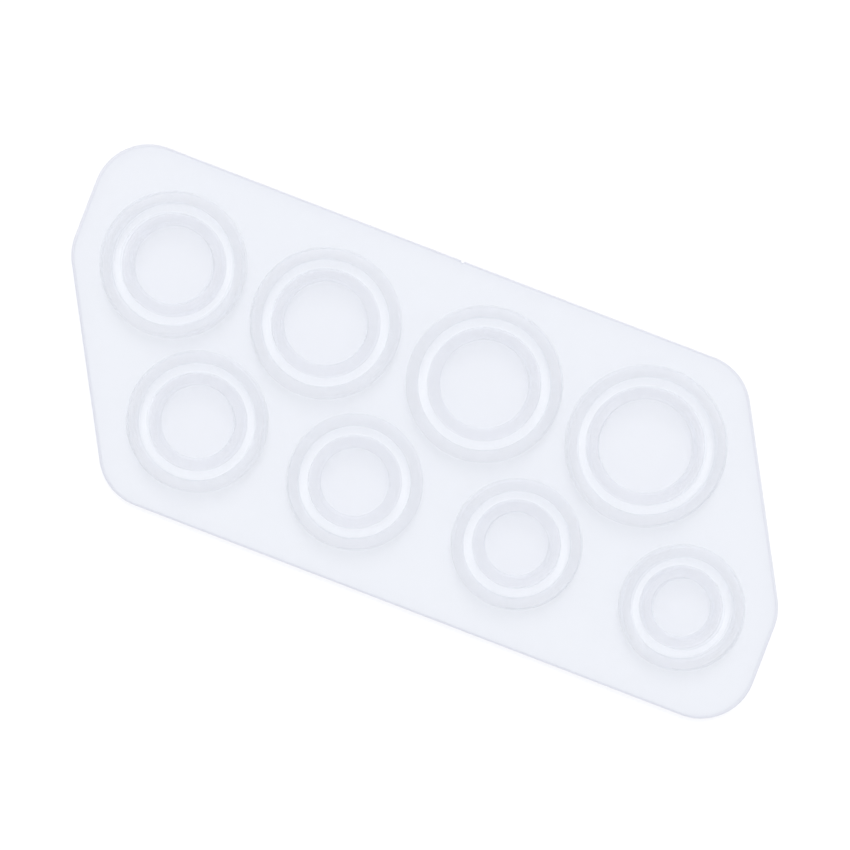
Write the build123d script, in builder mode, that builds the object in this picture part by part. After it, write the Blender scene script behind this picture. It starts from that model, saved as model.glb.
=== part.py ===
"""Silicone mould that casts eight flat band rings, one of each size from 16 to 23 mm.

The mould is one casting of clear silicone: a six-sided sheet that lies flat, and eight round
cells that stand up from it.  A cell is two upright walls, one inside the other, with an open
ring-shaped channel between them.  Resin goes into the channel from above.  The floor inside
each cell is thinner than the sheet, so that the finished ring can be pushed out from below.

The casting is divided here where its regions meet, face to face: the sheet, and for each cell
a floor, an inner wall and an outer wall.  Cell 1 holds the smallest ring and cell 8 the largest.

Frame: X runs along the sheet's length, Y across it towards the row of larger rings, and Z up,
out of the open channels.  The origin is the middle of the underside.  Units are millimetres.
"""
from build123d import *
import math
import os

os.makedirs("parts", exist_ok=True)

# The rings that the mould casts
smallest_ring = 16.0    # inner diameter of the ring in cell 1
ring_step = 1.0         # growth of the inner diameter from one cell to the next
channel_width = 2.0     # thickness of a ring's band, and the width of its channel

# Thicknesses and heights
sheet_thickness = 2.0
floor_thickness = 1.0   # under the channels and inside the inner walls
wall_thickness = 2.0    # of inner and outer walls alike
wall_height = 4.0       # from the sheet's upper face to the top of the walls
lip_round = 0.25        # rounding on the tops of the walls
edge_round = 0.4        # rounding along the sheet's rim, above and below

# Two rows of cells, each listed from the left end; gaps are between neighbouring outer walls
upper_cells = (5, 6, 7, 8)
upper_gaps = (3.5, 3.9, 3.5)
lower_cells = (4, 3, 2, 1)
lower_gaps = (6.6, 8.6, 10.2)
row_nesting = 1.9       # how far the two rows reach in between each other

# Bare sheet left around the walls
left_margin = 6.2       # to the first upper wall
lower_row_start = 22.1  # from the left end to the first lower wall
right_margin = 6.5      # beyond the last lower wall
upper_margin = 5.6
lower_margin = 6.3

# The sheet's outline: a rectangle with two opposite corners cut away, and all corners rounded
cut_along = 23.5        # taken off each long side
cut_angle = 61.0        # degrees between a cut side and the long sides
corner_radius = 11.0
nick_radius = 0.35      # the mark where the moulding was trimmed from its gate
nick_from_middle = 5.0  # towards the left, on the upper long side


def ring_radius(cell):
    """Inner radius of the ring that a cell casts, which is its channel's inner radius."""
    return (smallest_ring + ring_step * (cell - 1)) / 2


def channel_radius(cell):
    """Outer radius of a cell's channel."""
    return ring_radius(cell) + channel_width


def cell_radius(cell):
    """Outer radius of a cell's outer wall."""
    return channel_radius(cell) + wall_thickness


def row_places(cells, gaps, start):
    """Distance of each cell's centre from the left end of the sheet."""
    places = {}
    edge = start
    for cell, gap in zip(cells, gaps + (0.0,)):
        places[cell] = edge + cell_radius(cell)
        edge = places[cell] + cell_radius(cell) + gap
    return places


# Layout, worked out from the left end and then centred
along = row_places(upper_cells, upper_gaps, left_margin)
along.update(row_places(lower_cells, lower_gaps, lower_row_start))
last_cell = lower_cells[-1]
sheet_length = along[last_cell] + cell_radius(last_cell) + right_margin
upper_reach = max(cell_radius(cell) for cell in upper_cells)
lower_reach = max(cell_radius(cell) for cell in lower_cells)
row_pitch = upper_reach + lower_reach - row_nesting
sheet_width = upper_margin + upper_reach + row_pitch + lower_reach + lower_margin
upper_row = sheet_width / 2 - upper_margin - upper_reach
lower_row = upper_row - row_pitch

centre = {}
for cell in upper_cells:
    centre[cell] = (along[cell] - sheet_length / 2, upper_row)
for cell in lower_cells:
    centre[cell] = (along[cell] - sheet_length / 2, lower_row)

half_length = sheet_length / 2
half_width = sheet_width / 2
cut_across = cut_along * math.tan(math.radians(cut_angle))
right_side = [
    (half_length, -half_width),
    (half_length, half_width - cut_across),
    (half_length - cut_along, half_width),
]
left_side = [(-x, -y) for x, y in right_side]
wall_top = sheet_thickness + wall_height

# The sheet, open where a cell's thinner floor goes in
with BuildPart() as base_sheet:
    with BuildSketch() as outline:
        with BuildLine():
            Polyline(*right_side, *left_side, close=True)
        make_face()
        fillet(outline.vertices(), corner_radius)
    extrude(amount=sheet_thickness)
    rims = base_sheet.faces().filter_by(Axis.Z).edges()
    fillet(rims, edge_round)
    for cell in sorted(centre):
        with Locations(Location((*centre[cell], sheet_thickness))):
            Hole(channel_radius(cell), depth=sheet_thickness)
    with Locations((-nick_from_middle, half_width, sheet_thickness / 2)):
        Cylinder(nick_radius, sheet_thickness, mode=Mode.SUBTRACT)
base_sheet.part.label = "base_sheet"
export_step(base_sheet.part, "parts/base_sheet.step")

for cell in sorted(centre):
    # Floor of the cell: the bottom of the channel and of the round recess in its middle
    with BuildPart() as cavity_floor:
        with BuildSketch():
            with Locations(centre[cell]):
                Circle(channel_radius(cell))
        extrude(amount=floor_thickness)
    cavity_floor.part.label = f"cavity_floor_{cell}"
    export_step(cavity_floor.part, f"parts/cavity_floor_{cell}.step")

    # Inner wall: shapes the inside of the ring, and stands on the cell's floor
    with BuildPart() as inner_wall:
        with BuildSketch(Plane.XY.offset(floor_thickness)):
            with Locations(centre[cell]):
                Circle(ring_radius(cell))
                Circle(ring_radius(cell) - wall_thickness, mode=Mode.SUBTRACT)
        extrude(amount=wall_top - floor_thickness)
        fillet(inner_wall.edges().group_by(Axis.Z)[-1], lip_round)
    inner_wall.part.label = f"inner_wall_{cell}"
    export_step(inner_wall.part, f"parts/inner_wall_{cell}.step")

    # Outer wall: shapes the outside of the ring, and stands on the sheet
    with BuildPart() as outer_wall:
        with BuildSketch(Plane.XY.offset(sheet_thickness)):
            with Locations(centre[cell]):
                Circle(cell_radius(cell))
                Circle(channel_radius(cell), mode=Mode.SUBTRACT)
        extrude(amount=wall_height)
        fillet(outer_wall.edges().group_by(Axis.Z)[-1], lip_round)
    outer_wall.part.label = f"outer_wall_{cell}"
    export_step(outer_wall.part, f"parts/outer_wall_{cell}.step")
    print(f"cell {cell}: ring {2 * ring_radius(cell):.1f} mm at {centre[cell][0]:.2f}, {centre[cell][1]:.2f}")

print(f"sheet {sheet_length:.2f} x {sheet_width:.2f} mm, {wall_top:.2f} mm high over the walls")
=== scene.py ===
import math
import bpy
import numpy as np
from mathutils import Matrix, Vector
from mathutils.geometry import delaunay_2d_cdt


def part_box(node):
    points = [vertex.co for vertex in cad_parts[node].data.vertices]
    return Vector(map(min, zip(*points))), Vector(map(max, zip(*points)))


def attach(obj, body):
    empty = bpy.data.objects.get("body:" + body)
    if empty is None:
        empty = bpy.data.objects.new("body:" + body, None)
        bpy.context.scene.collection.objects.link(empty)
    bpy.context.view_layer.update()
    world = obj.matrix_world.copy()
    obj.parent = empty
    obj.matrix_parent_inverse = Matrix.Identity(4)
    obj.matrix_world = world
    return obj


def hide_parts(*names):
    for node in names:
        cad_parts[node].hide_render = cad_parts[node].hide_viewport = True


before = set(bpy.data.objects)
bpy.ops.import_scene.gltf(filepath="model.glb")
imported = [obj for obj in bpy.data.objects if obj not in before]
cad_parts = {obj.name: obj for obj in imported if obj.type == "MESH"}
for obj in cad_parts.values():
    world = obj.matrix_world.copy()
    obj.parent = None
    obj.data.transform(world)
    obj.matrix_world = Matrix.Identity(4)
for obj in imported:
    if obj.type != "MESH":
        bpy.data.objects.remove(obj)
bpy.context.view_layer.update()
millimetre = 0.001
sharpFrom = math.radians(50)  # an edge that turns by more than this is drawn sharp


# Silicone: clear, faintly blue and a little milky

siliconeLook = {
    "body": (0.90, 0.92, 0.97, 1.0),        # what the rubber scatters back
    "bodyPatch": (0.86, 0.885, 0.945, 1.0),
    "flatHaze": 0.08,                       # share of light that a flat face scatters back
    "sideHaze": 0.015,                      # and an upright one
    "side": (0.982, 0.985, 0.990, 1.0),     # what an upright face lets through
    "rim": (0.880, 0.885, 0.915, 1.0),      # and the rounded rim of the sheet, darker: painted shade for the dark edge that refraction gives there
    "ior": 1.41,
    "roughLow": 0.34,
    "roughHigh": 0.50,
    "patchScale": 55.0,                     # cloudy patches, about 18 mm across
    "patchDetail": 3.0,
    "grainScale": 2600.0,                   # fine grain of the mould it was cast in
    "grainDetail": 2.0,
    "grainHeight": 0.01 * millimetre,
    "waveScale": 90.0,                      # slow unevenness
    "waveDetail": 1.0,
    "waveHeight": 0.06 * millimetre,
}
# What a flat face of each region lets through. A wall's faces add their share to that
# of the floor or the sheet below, so the walls look darkest. The channels look brightest by painted
# light: their floor, as thick as the recess's, is given a lighter tint against the shade of the walls.
flatTint = {
    "sheet": (0.953, 0.958, 0.970, 1.0),
    "recess": (0.954, 0.958, 0.970, 1.0),
    # painted light: the channel's floor is as thick as the recess's but lets through lighter, to lift it
    # against the shade of the walls
    "channel": (0.977, 0.981, 0.990, 1.0),
    "inner": (0.972, 0.972, 0.976, 1.0),
    "outer": (0.964, 0.964, 0.967, 1.0),
}


def addNode(tree, kind, **values):
    node = tree.nodes.new(kind)
    for key, value in values.items():
        node.inputs[key.replace("_", " ")].default_value = value
    return node


def addNoise(tree, place, name):
    # Noise on the piece's own coordinates, set by the look's values of that name.
    look = siliconeLook
    noise = addNode(tree, "ShaderNodeTexNoise", Scale=look[f"{name}Scale"], Detail=look[f"{name}Detail"])
    tree.links.new(place, noise.inputs["Vector"])
    return noise.outputs["Fac"]


def mapTo(tree, factor, low, high):
    # A factor of 0 gives the low value and a factor of 1 the high one.
    spread = addNode(tree, "ShaderNodeMapRange", To_Min=low, To_Max=high)
    tree.links.new(factor, spread.inputs["Value"])
    return spread.outputs["Result"]


def mixColours(tree, factor, first, second):
    # A blend from the first colour to the second; the first may be another node's output.
    mix = tree.nodes.new("ShaderNodeMix")
    mix.data_type = "RGBA"
    tree.links.new(factor, mix.inputs["Factor"])
    if isinstance(first, tuple):
        mix.inputs["A"].default_value = first
    else:
        tree.links.new(first, mix.inputs["A"])
    mix.inputs["B"].default_value = second
    return mix.outputs["Result"]


def addSurface(tree, shader):
    # The milky surface: cloudy in colour and gloss, with slow waves and a fine grain.
    links = tree.links
    place = tree.nodes.new("ShaderNodeTexCoord").outputs["Object"]
    patches = addNoise(tree, place, "patch")
    tone = mixColours(tree, patches, siliconeLook["body"], siliconeLook["bodyPatch"])
    rough = mapTo(tree, patches, siliconeLook["roughLow"], siliconeLook["roughHigh"])
    waves = addNode(tree, "ShaderNodeBump", Distance=siliconeLook["waveHeight"])
    grain = addNode(tree, "ShaderNodeBump", Distance=siliconeLook["grainHeight"])
    links.new(addNoise(tree, place, "wave"), waves.inputs["Height"])
    links.new(addNoise(tree, place, "grain"), grain.inputs["Height"])
    links.new(waves.outputs["Normal"], grain.inputs["Normal"])
    links.new(tone, shader.inputs["Base Color"])
    links.new(rough, shader.inputs["Roughness"])
    links.new(grain.outputs["Normal"], shader.inputs["Normal"])
    shader.inputs["IOR"].default_value = siliconeLook["ior"]


def makeSilicone(region):
    # Most light goes straight through each face, tinted by its slope: a flat face has the piece's
    # whole thickness behind it and an upright one little. The milky surface scatters the rest.
    material = bpy.data.materials.new(f"{region}Silicone")
    material.use_nodes = True
    tree = material.node_tree
    links = tree.links
    shader = tree.nodes["Principled BSDF"]
    addSurface(tree, shader)

    slope = tree.nodes.new("ShaderNodeSeparateXYZ")
    links.new(tree.nodes.new("ShaderNodeNewGeometry").outputs["Normal"], slope.inputs[0])
    flatness = tree.nodes.new("ShaderNodeMath")
    flatness.operation = "ABSOLUTE"
    links.new(slope.outputs["Z"], flatness.inputs[0])
    flat = flatness.outputs[0]

    # painted shade: the rows of the sheet's rim are mixed to a darker tint, for the dark edge that
    # refraction gives at a rounded rim
    rim = tree.nodes.new("ShaderNodeAttribute")
    rim.attribute_name = "rim"
    tint = mixColours(tree, flat, siliconeLook["side"], flatTint[region])
    through = tree.nodes.new("ShaderNodeBsdfTransparent")
    links.new(mixColours(tree, rim.outputs["Fac"], tint, siliconeLook["rim"]), through.inputs["Color"])

    mix = tree.nodes.new("ShaderNodeMixShader")
    links.new(mapTo(tree, flat, siliconeLook["sideHaze"], siliconeLook["flatHaze"]), mix.inputs[0])
    links.new(through.outputs[0], mix.inputs[1])
    links.new(shader.outputs[0], mix.inputs[2])
    links.new(mix.outputs[0], tree.nodes["Material Output"].inputs["Surface"])
    return material


silicones = {region: makeSilicone(region) for region in flatTint}
print("materials ready")


# Surfaces that the cells and the sheet share

def unitRows(vectors):
    return vectors / np.linalg.norm(vectors, axis=-1, keepdims=True)


def roundedPath(corners, radii, steps, closed):
    # Each corner becomes an arc that touches both of its sides. With h half the corner's angle, the arc
    # has its centre radius / sin(h) along the corner's bisector, and turns by 180 degrees less 2h.
    corners, radii = np.asarray(corners, float), np.asarray(radii, float)
    inner = corners if closed else corners[1:-1]
    before = np.roll(corners, 1, axis=0) if closed else corners[:-2]
    after = np.roll(corners, -1, axis=0) if closed else corners[2:]
    back, onward = unitRows(before - inner), unitRows(after - inner)
    half = np.arccos(np.clip((back * onward).sum(axis=1), -1, 1)) / 2
    middle = inner + unitRows(back + onward) * (radii / np.sin(half))[:, None]
    reach = (radii / np.tan(half))[:, None]
    first, last = inner + back * reach - middle, inner + onward * reach - middle
    turn = (math.pi - 2 * half)[:, None]
    share = np.linspace(0, 1, steps)[None, :]
    nearFirst = np.sin((1 - share) * turn) / np.sin(turn)
    nearLast = np.sin(share * turn) / np.sin(turn)
    arcs = nearFirst[:, :, None] * first[:, None] + nearLast[:, :, None] * last[:, None]
    points = (middle[:, None] + arcs).reshape(-1, 2)
    return points if closed else np.vstack([corners[:1], points, corners[-1:]])


def gridFaces(rows, columns):
    # Four-sided faces over rows of points, each row closed on itself.
    i, j = np.meshgrid(np.arange(rows - 1), np.arange(columns), indexing="ij")
    k = (j + 1) % columns
    low, high = i * columns, (i + 1) * columns
    return np.stack([low + j, high + j, high + k, low + k], axis=-1).reshape(-1, 4)


def makePiece(name, node, region, vertices, faces):
    mesh = bpy.data.meshes.new(name)
    mesh.from_pydata(vertices.tolist(), [], faces)
    mesh.set_sharp_from_angle(angle=sharpFrom)
    mesh.materials.append(silicones[region])
    piece = bpy.data.objects.new(name, mesh)
    bpy.context.scene.collection.objects.link(piece)
    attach(piece, "root")
    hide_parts(node)
    return piece


# Cells: a floor, an inner wall and an outer wall for each ring, turned about the cell's own axis

cellLook = {
    "numbers": range(1, 9),            # 1 casts the smallest ring and 8 the largest
    "around": 256,                     # points round every circle, so that neighbours meet point to point
    "lipRound": 0.25 * millimetre,     # tops of the walls
    "floorRound": 0.30 * millimetre,   # where a wall rises from the cell's floor
    "footRound": 0.50 * millimetre,    # where an outer wall rises from the sheet
    "arcSteps": 7,
    "recessRows": 10,                  # rows of points in the floor, out to the inner wall's far side
    "channelRows": 4,                  # and on across the channel
}
around = cellLook["around"]
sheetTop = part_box("base_sheet")[1].z


def cellSizes(number):
    floorLow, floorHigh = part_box(f"cavity_floor_{number}")
    outerLow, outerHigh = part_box(f"outer_wall_{number}")
    innerLow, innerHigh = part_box(f"inner_wall_{number}")
    channel = (floorHigh.x - floorLow.x) / 2
    cell = (outerHigh.x - outerLow.x) / 2
    ring = (innerHigh.x - innerLow.x) / 2
    middle = ((floorLow.x + floorHigh.x) / 2, (floorLow.y + floorHigh.y) / 2)
    return {
        "middle": middle, "recess": ring - (cell - channel), "ring": ring,
        "channel": channel, "cell": cell, "floor": floorHigh.z, "top": outerHigh.z,
    }


def turned(profile, middle):
    # Point (s, t): the profile's radius at s carried round the upright axis to angle t, at its height at s.
    angles = np.linspace(0, 2 * math.pi, around, endpoint=False)
    radius, height = profile[:, :1], profile[:, 1:]
    x = middle[0] + radius * np.cos(angles)
    y = middle[1] + radius * np.sin(angles)
    return np.stack([x, y, np.broadcast_to(height, x.shape)], axis=-1)


def turnedRing(profile, middle):
    # A closed profile carried round the axis: its last row joins its first.
    rows = turned(profile, middle)
    faces = gridFaces(len(rows) + 1, around) % (len(rows) * around)
    return rows.reshape(-1, 3), faces.tolist()


def turnedDisc(profile, middle):
    # A profile from axis to axis: each end is one point, joined to its neighbouring row by a fan.
    rows = turned(profile[1:-1], middle)
    grid = rows.reshape(-1, 3)
    poles = [(*middle, profile[0, 1]), (*middle, profile[-1, 1])]
    j = np.arange(around)
    k = (j + 1) % around
    lastRow = len(grid) - around
    firstFan = np.stack([np.full(around, len(grid)), j, k], axis=-1)
    lastFan = np.stack([np.full(around, len(grid) + 1), lastRow + k, lastRow + j], axis=-1)
    faces = [*gridFaces(len(rows), around).tolist(), *firstFan.tolist(), *lastFan.tolist()]
    return np.vstack([grid, poles]), faces


def floorMesh(size):
    # From the axis over the floor to a small rise against the channel's outer side, then back below.
    bend = np.linspace(0, math.pi / 2, cellLook["arcSteps"])
    rise = cellLook["floorRound"]
    edge = size["channel"] - rise
    radius = np.concatenate([
        np.linspace(0, size["ring"], cellLook["recessRows"], endpoint=False),
        np.linspace(size["ring"], edge, cellLook["channelRows"]),
    ])
    top = np.stack([radius, np.full(len(radius), size["floor"])], -1)
    rim = np.stack([edge + rise * np.sin(bend), size["floor"] + rise - rise * np.cos(bend)], -1)
    bottom = np.stack([radius[::-1], np.zeros(len(radius))], -1)
    return turnedDisc(np.vstack([top, rim[1:], (size["channel"], 0), bottom]), size["middle"])


def paintLightInChannel(floor, size):
    # The part of the floor beyond the inner wall is the channel's, and gets a lighter tint: painted light
    # that lifts it against the shade of the walls around it.
    floor.data.materials.append(silicones["channel"])
    faces = floor.data.polygons
    places = np.empty(3 * len(faces))
    faces.foreach_get("center", places)
    away = np.linalg.norm(places.reshape(-1, 3)[:, :2] - size["middle"], axis=1)
    faces.foreach_set("material_index", (away > size["ring"]).astype(np.int32))


def innerWallMesh(size):
    # Up the side of the recess, over the top and down into the channel, flaring at both feet. The two
    # end points only give the feet their direction, and are left out.
    lip, foot = cellLook["lipRound"], cellLook["floorRound"]
    corners = [
        (0, size["floor"]), (size["recess"], size["floor"]), (size["recess"], size["top"]),
        (size["ring"], size["top"]), (size["ring"], size["floor"]), (size["cell"], size["floor"]),
    ]
    profile = roundedPath(corners, [foot, lip, lip, foot], cellLook["arcSteps"], False)
    return turnedRing(profile[1:-1], size["middle"])


def outerWallMesh(size):
    # Up the channel's outer side, over the top and down to a flared foot on the sheet. The last point
    # only gives the foot its direction, and is left out.
    lip, foot = cellLook["lipRound"], cellLook["footRound"]
    corners = [
        (size["channel"], sheetTop), (size["channel"], size["top"]),
        (size["cell"], size["top"]), (size["cell"], sheetTop), (2 * size["cell"], sheetTop),
    ]
    profile = roundedPath(corners, [lip, lip, foot], cellLook["arcSteps"], False)
    return turnedRing(profile[:-1], size["middle"])


cells = {number: cellSizes(number) for number in cellLook["numbers"]}
for number, size in cells.items():
    floor = makePiece(f"floor_{number}", f"cavity_floor_{number}", "recess", *floorMesh(size))
    paintLightInChannel(floor, size)
    makePiece(f"innerWall_{number}", f"inner_wall_{number}", "inner", *innerWallMesh(size))
    makePiece(f"outerWall_{number}", f"outer_wall_{number}", "outer", *outerWallMesh(size))
print("cells ready")


# Sheet: two opposite corners clipped, a rounded rim, and open where the cells' floors go in

sheetLook = {
    "cutAlong": 23.5 * millimetre,      # taken off each long side at a clipped corner
    "cutAngle": math.radians(61.0),     # between a cut side and the long sides
    "cornerRound": 11.0 * millimetre,
    "rimRound": 0.4 * millimetre,
    "rimSteps": 7,
    "cornerSteps": 24,
    "nickRound": 0.35 * millimetre,     # the mark left where the casting was trimmed
    "nickPlace": -5.0 * millimetre,     # along the upper long side, from its middle
    "nickCorner": 3,                    # that side follows the third corner of the outline
    "nickSteps": 13,
    "fillOutline": 1,                   # the triangulator's way that keeps what the outline encloses
    "fillMargin": 1e-9,                 # points closer than this are one
}


def sheetOutline(inset):
    # A rectangle with two opposite corners cut away, every side drawn in by the inset and every
    # corner rounded, with a half-round dent for the nick.
    look = sheetLook
    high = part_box("base_sheet")[1]
    length, width = high.x - inset, high.y - inset
    normal = np.array([math.sin(look["cutAngle"]), math.cos(look["cutAngle"])])
    reach = normal @ (high.x - look["cutAlong"], high.y) - inset
    right = np.array([
        (length, -width),
        (length, (reach - normal[0] * length) / normal[1]),
        ((reach - normal[1] * width) / normal[0], width),
    ])
    corners = [*right, *-right]
    radii = [look["cornerRound"] - inset] * len(corners)
    outline = roundedPath(corners, radii, look["cornerSteps"], True)
    across = np.linspace(1, -1, look["nickSteps"])
    depth = look["nickRound"] * np.sqrt(1 - across ** 2)
    nick = np.stack([look["nickPlace"] + look["nickRound"] * across, width - depth], -1)
    return np.insert(outline, look["nickCorner"] * look["cornerSteps"], nick, axis=0)


def rimPath():
    # Inset and height down the rim: a quarter round at its top and another at its bottom.
    bend = np.linspace(0, math.pi / 2, sheetLook["rimSteps"])
    r = sheetLook["rimRound"]
    top = np.stack([r - r * np.sin(bend), sheetTop - r + r * np.cos(bend)], -1)
    bottom = np.stack([r - r * np.cos(bend), r - r * np.sin(bend)], -1)
    return np.vstack([top, bottom])


def flatTriangles(points, loops):
    # Triangles between the outline and the holes: those whose middle lies in a hole are left out.
    edges = np.vstack([np.stack([loop, np.roll(loop, -1)], -1) for loop in loops])
    places = [Vector(point) for point in points]
    way, margin = sheetLook["fillOutline"], sheetLook["fillMargin"]
    _, _, found, sources, _, _ = delaunay_2d_cdt(places, edges.tolist(), [], way, margin)
    triangles = np.array([source[0] for source in sources])[np.array(found)]
    middles = points[triangles].mean(axis=1)
    for size in cells.values():
        nearest = size["channel"] * math.cos(math.pi / around)  # the middle of a side of the round hole
        outside = np.linalg.norm(middles - size["middle"], axis=1) > nearest
        triangles, middles = triangles[outside], middles[outside]
    return triangles


def sheetMesh():
    # The rim is the outline carried down the rim's path, each hole is an upright tube of two rows,
    # and the two flat faces fill what lies between the outline and the holes.
    rim = [np.insert(sheetOutline(inset), 2, height, axis=1) for inset, height in rimPath()]
    perRow = len(rim[0])
    vertices, faces = [*rim], [gridFaces(len(rim), perRow)]
    topLoops, bottomLoops = [np.arange(perRow)], [np.arange(perRow) + (len(rim) - 1) * perRow]
    start = len(rim) * perRow
    for size in cells.values():
        side = np.array([(size["channel"], sheetTop), (size["channel"], 0.0)])
        vertices += [*turned(side, size["middle"])]
        faces.append(gridFaces(2, around)[:, ::-1] + start)
        topLoops.append(np.arange(around) + start)
        bottomLoops.append(np.arange(around) + start + around)
        start += 2 * around
    vertices = np.vstack(vertices)
    faces = np.vstack(faces).tolist()
    for loops, order in ((topLoops, 1), (bottomLoops, -1)):
        used = np.concatenate(loops)
        renumbered = np.zeros(len(vertices), int)
        renumbered[used] = np.arange(len(used))
        triangles = flatTriangles(vertices[used, :2], [renumbered[loop] for loop in loops])
        faces += used[triangles][:, ::order].tolist()
    return vertices, faces


def markRimForPaintedShade(sheet):
    # Every row of the rim but its first and last, which bound the flat faces: these rows get the painted
    # shade of the rim.
    row = np.arange(len(sheet.data.vertices)) // len(sheetOutline(0))
    rim = sheet.data.attributes.new("rim", "FLOAT", "POINT")
    rim.data.foreach_set("value", (row > 0) & (row < len(rimPath()) - 1))


sheet = makePiece("sheet", "base_sheet", "sheet", *sheetMesh())
markRimForPaintedShade(sheet)
print("sheet ready")


# White paper, light and camera

stageLook = {
    "paper": 0.96,
    "paperRough": 1.0,
    "paperShine": 0.0,
    "paperHalf": 3.0,
    "paperDrop": 0.02 * millimetre,     # below the sheet's underside
    "overhead": 0.724,                  # brightness of the surroundings above
    "horizon": 1.05,                    # and near the horizon, where they meet the paper
    "horizonEnds": (0.15, 0.40),        # heights of the direction between which the one becomes the other
    "lampFrom": (-0.3, 1.1, 1.9),
    "lampAngle": math.radians(23.0),    # how wide the lamp is, seen from the mould
    "lampStrength": 1.42,
    "clearLayers": 64,                  # light crosses many layers of the walls before it leaves the rubber
    "scatterings": 16,
    "allBounces": 24,
}
cameraLook = {
    "place": (-0.0004, 0.0012, 0.390),
    "turn": math.radians(21.0),
    "viewWidth": 0.1670,                # seen at the height of the sheet's top
    "sensor": 36.0,
}


def makePaper():
    half = stageLook["paperHalf"]
    mesh = bpy.data.meshes.new("floor")
    corners = [(-half, -half, 0), (half, -half, 0), (half, half, 0), (-half, half, 0)]
    mesh.from_pydata(corners, [], [(0, 1, 2, 3)])
    material = bpy.data.materials.new("paper")
    material.use_nodes = True
    shader = material.node_tree.nodes["Principled BSDF"]
    shader.inputs["Base Color"].default_value = (stageLook["paper"],) * 3 + (1,)
    shader.inputs["Roughness"].default_value = stageLook["paperRough"]
    shader.inputs["Specular IOR Level"].default_value = stageLook["paperShine"]
    mesh.materials.append(material)
    paper = bpy.data.objects.new("floor", mesh)
    paper.location.z = -stageLook["paperDrop"]
    bpy.context.scene.collection.objects.link(paper)


def makeSurroundings():
    # White all round, and brighter towards the horizon.
    world = bpy.data.worlds.new("studio")
    world.use_nodes = True
    tree = world.node_tree
    direction = tree.nodes.new("ShaderNodeSeparateXYZ")
    tree.links.new(tree.nodes.new("ShaderNodeTexCoord").outputs["Generated"], direction.inputs[0])
    low, high = stageLook["horizonEnds"]
    strength = addNode(
        tree, "ShaderNodeMapRange", From_Min=low, From_Max=high,
        To_Min=stageLook["horizon"], To_Max=stageLook["overhead"],
    )
    tree.links.new(direction.outputs["Z"], strength.inputs["Value"])
    background = tree.nodes["Background"]
    background.inputs["Color"].default_value = (1, 1, 1, 1)
    tree.links.new(strength.outputs["Result"], background.inputs["Strength"])
    bpy.context.scene.world = world


def makeLamp():
    light = bpy.data.lights.new("lamp", "SUN")
    light.angle = stageLook["lampAngle"]
    light.energy = stageLook["lampStrength"]
    lamp = bpy.data.objects.new("lamp", light)
    lamp.location = stageLook["lampFrom"]
    lamp.rotation_euler = (-lamp.location).to_track_quat("-Z", "Y").to_euler()
    bpy.context.scene.collection.objects.link(lamp)


def letLightThrough():
    cycles = bpy.context.scene.cycles
    cycles.transparent_max_bounces = stageLook["clearLayers"]
    cycles.diffuse_bounces = stageLook["scatterings"]
    cycles.max_bounces = stageLook["allBounces"]


def makeCamera():
    data = bpy.data.cameras.new("camera")
    data.sensor_width = cameraLook["sensor"]
    data.lens = data.sensor_width * (cameraLook["place"][2] - sheetTop) / cameraLook["viewWidth"]
    camera = bpy.data.objects.new("camera", data)
    camera.location = cameraLook["place"]
    camera.rotation_euler = (0, 0, cameraLook["turn"])
    bpy.context.scene.collection.objects.link(camera)
    bpy.context.scene.camera = camera


makePaper()
makeSurroundings()
makeLamp()
letLightThrough()
makeCamera()
bpy.context.scene.view_settings.view_transform = "Standard"
print("stage ready")
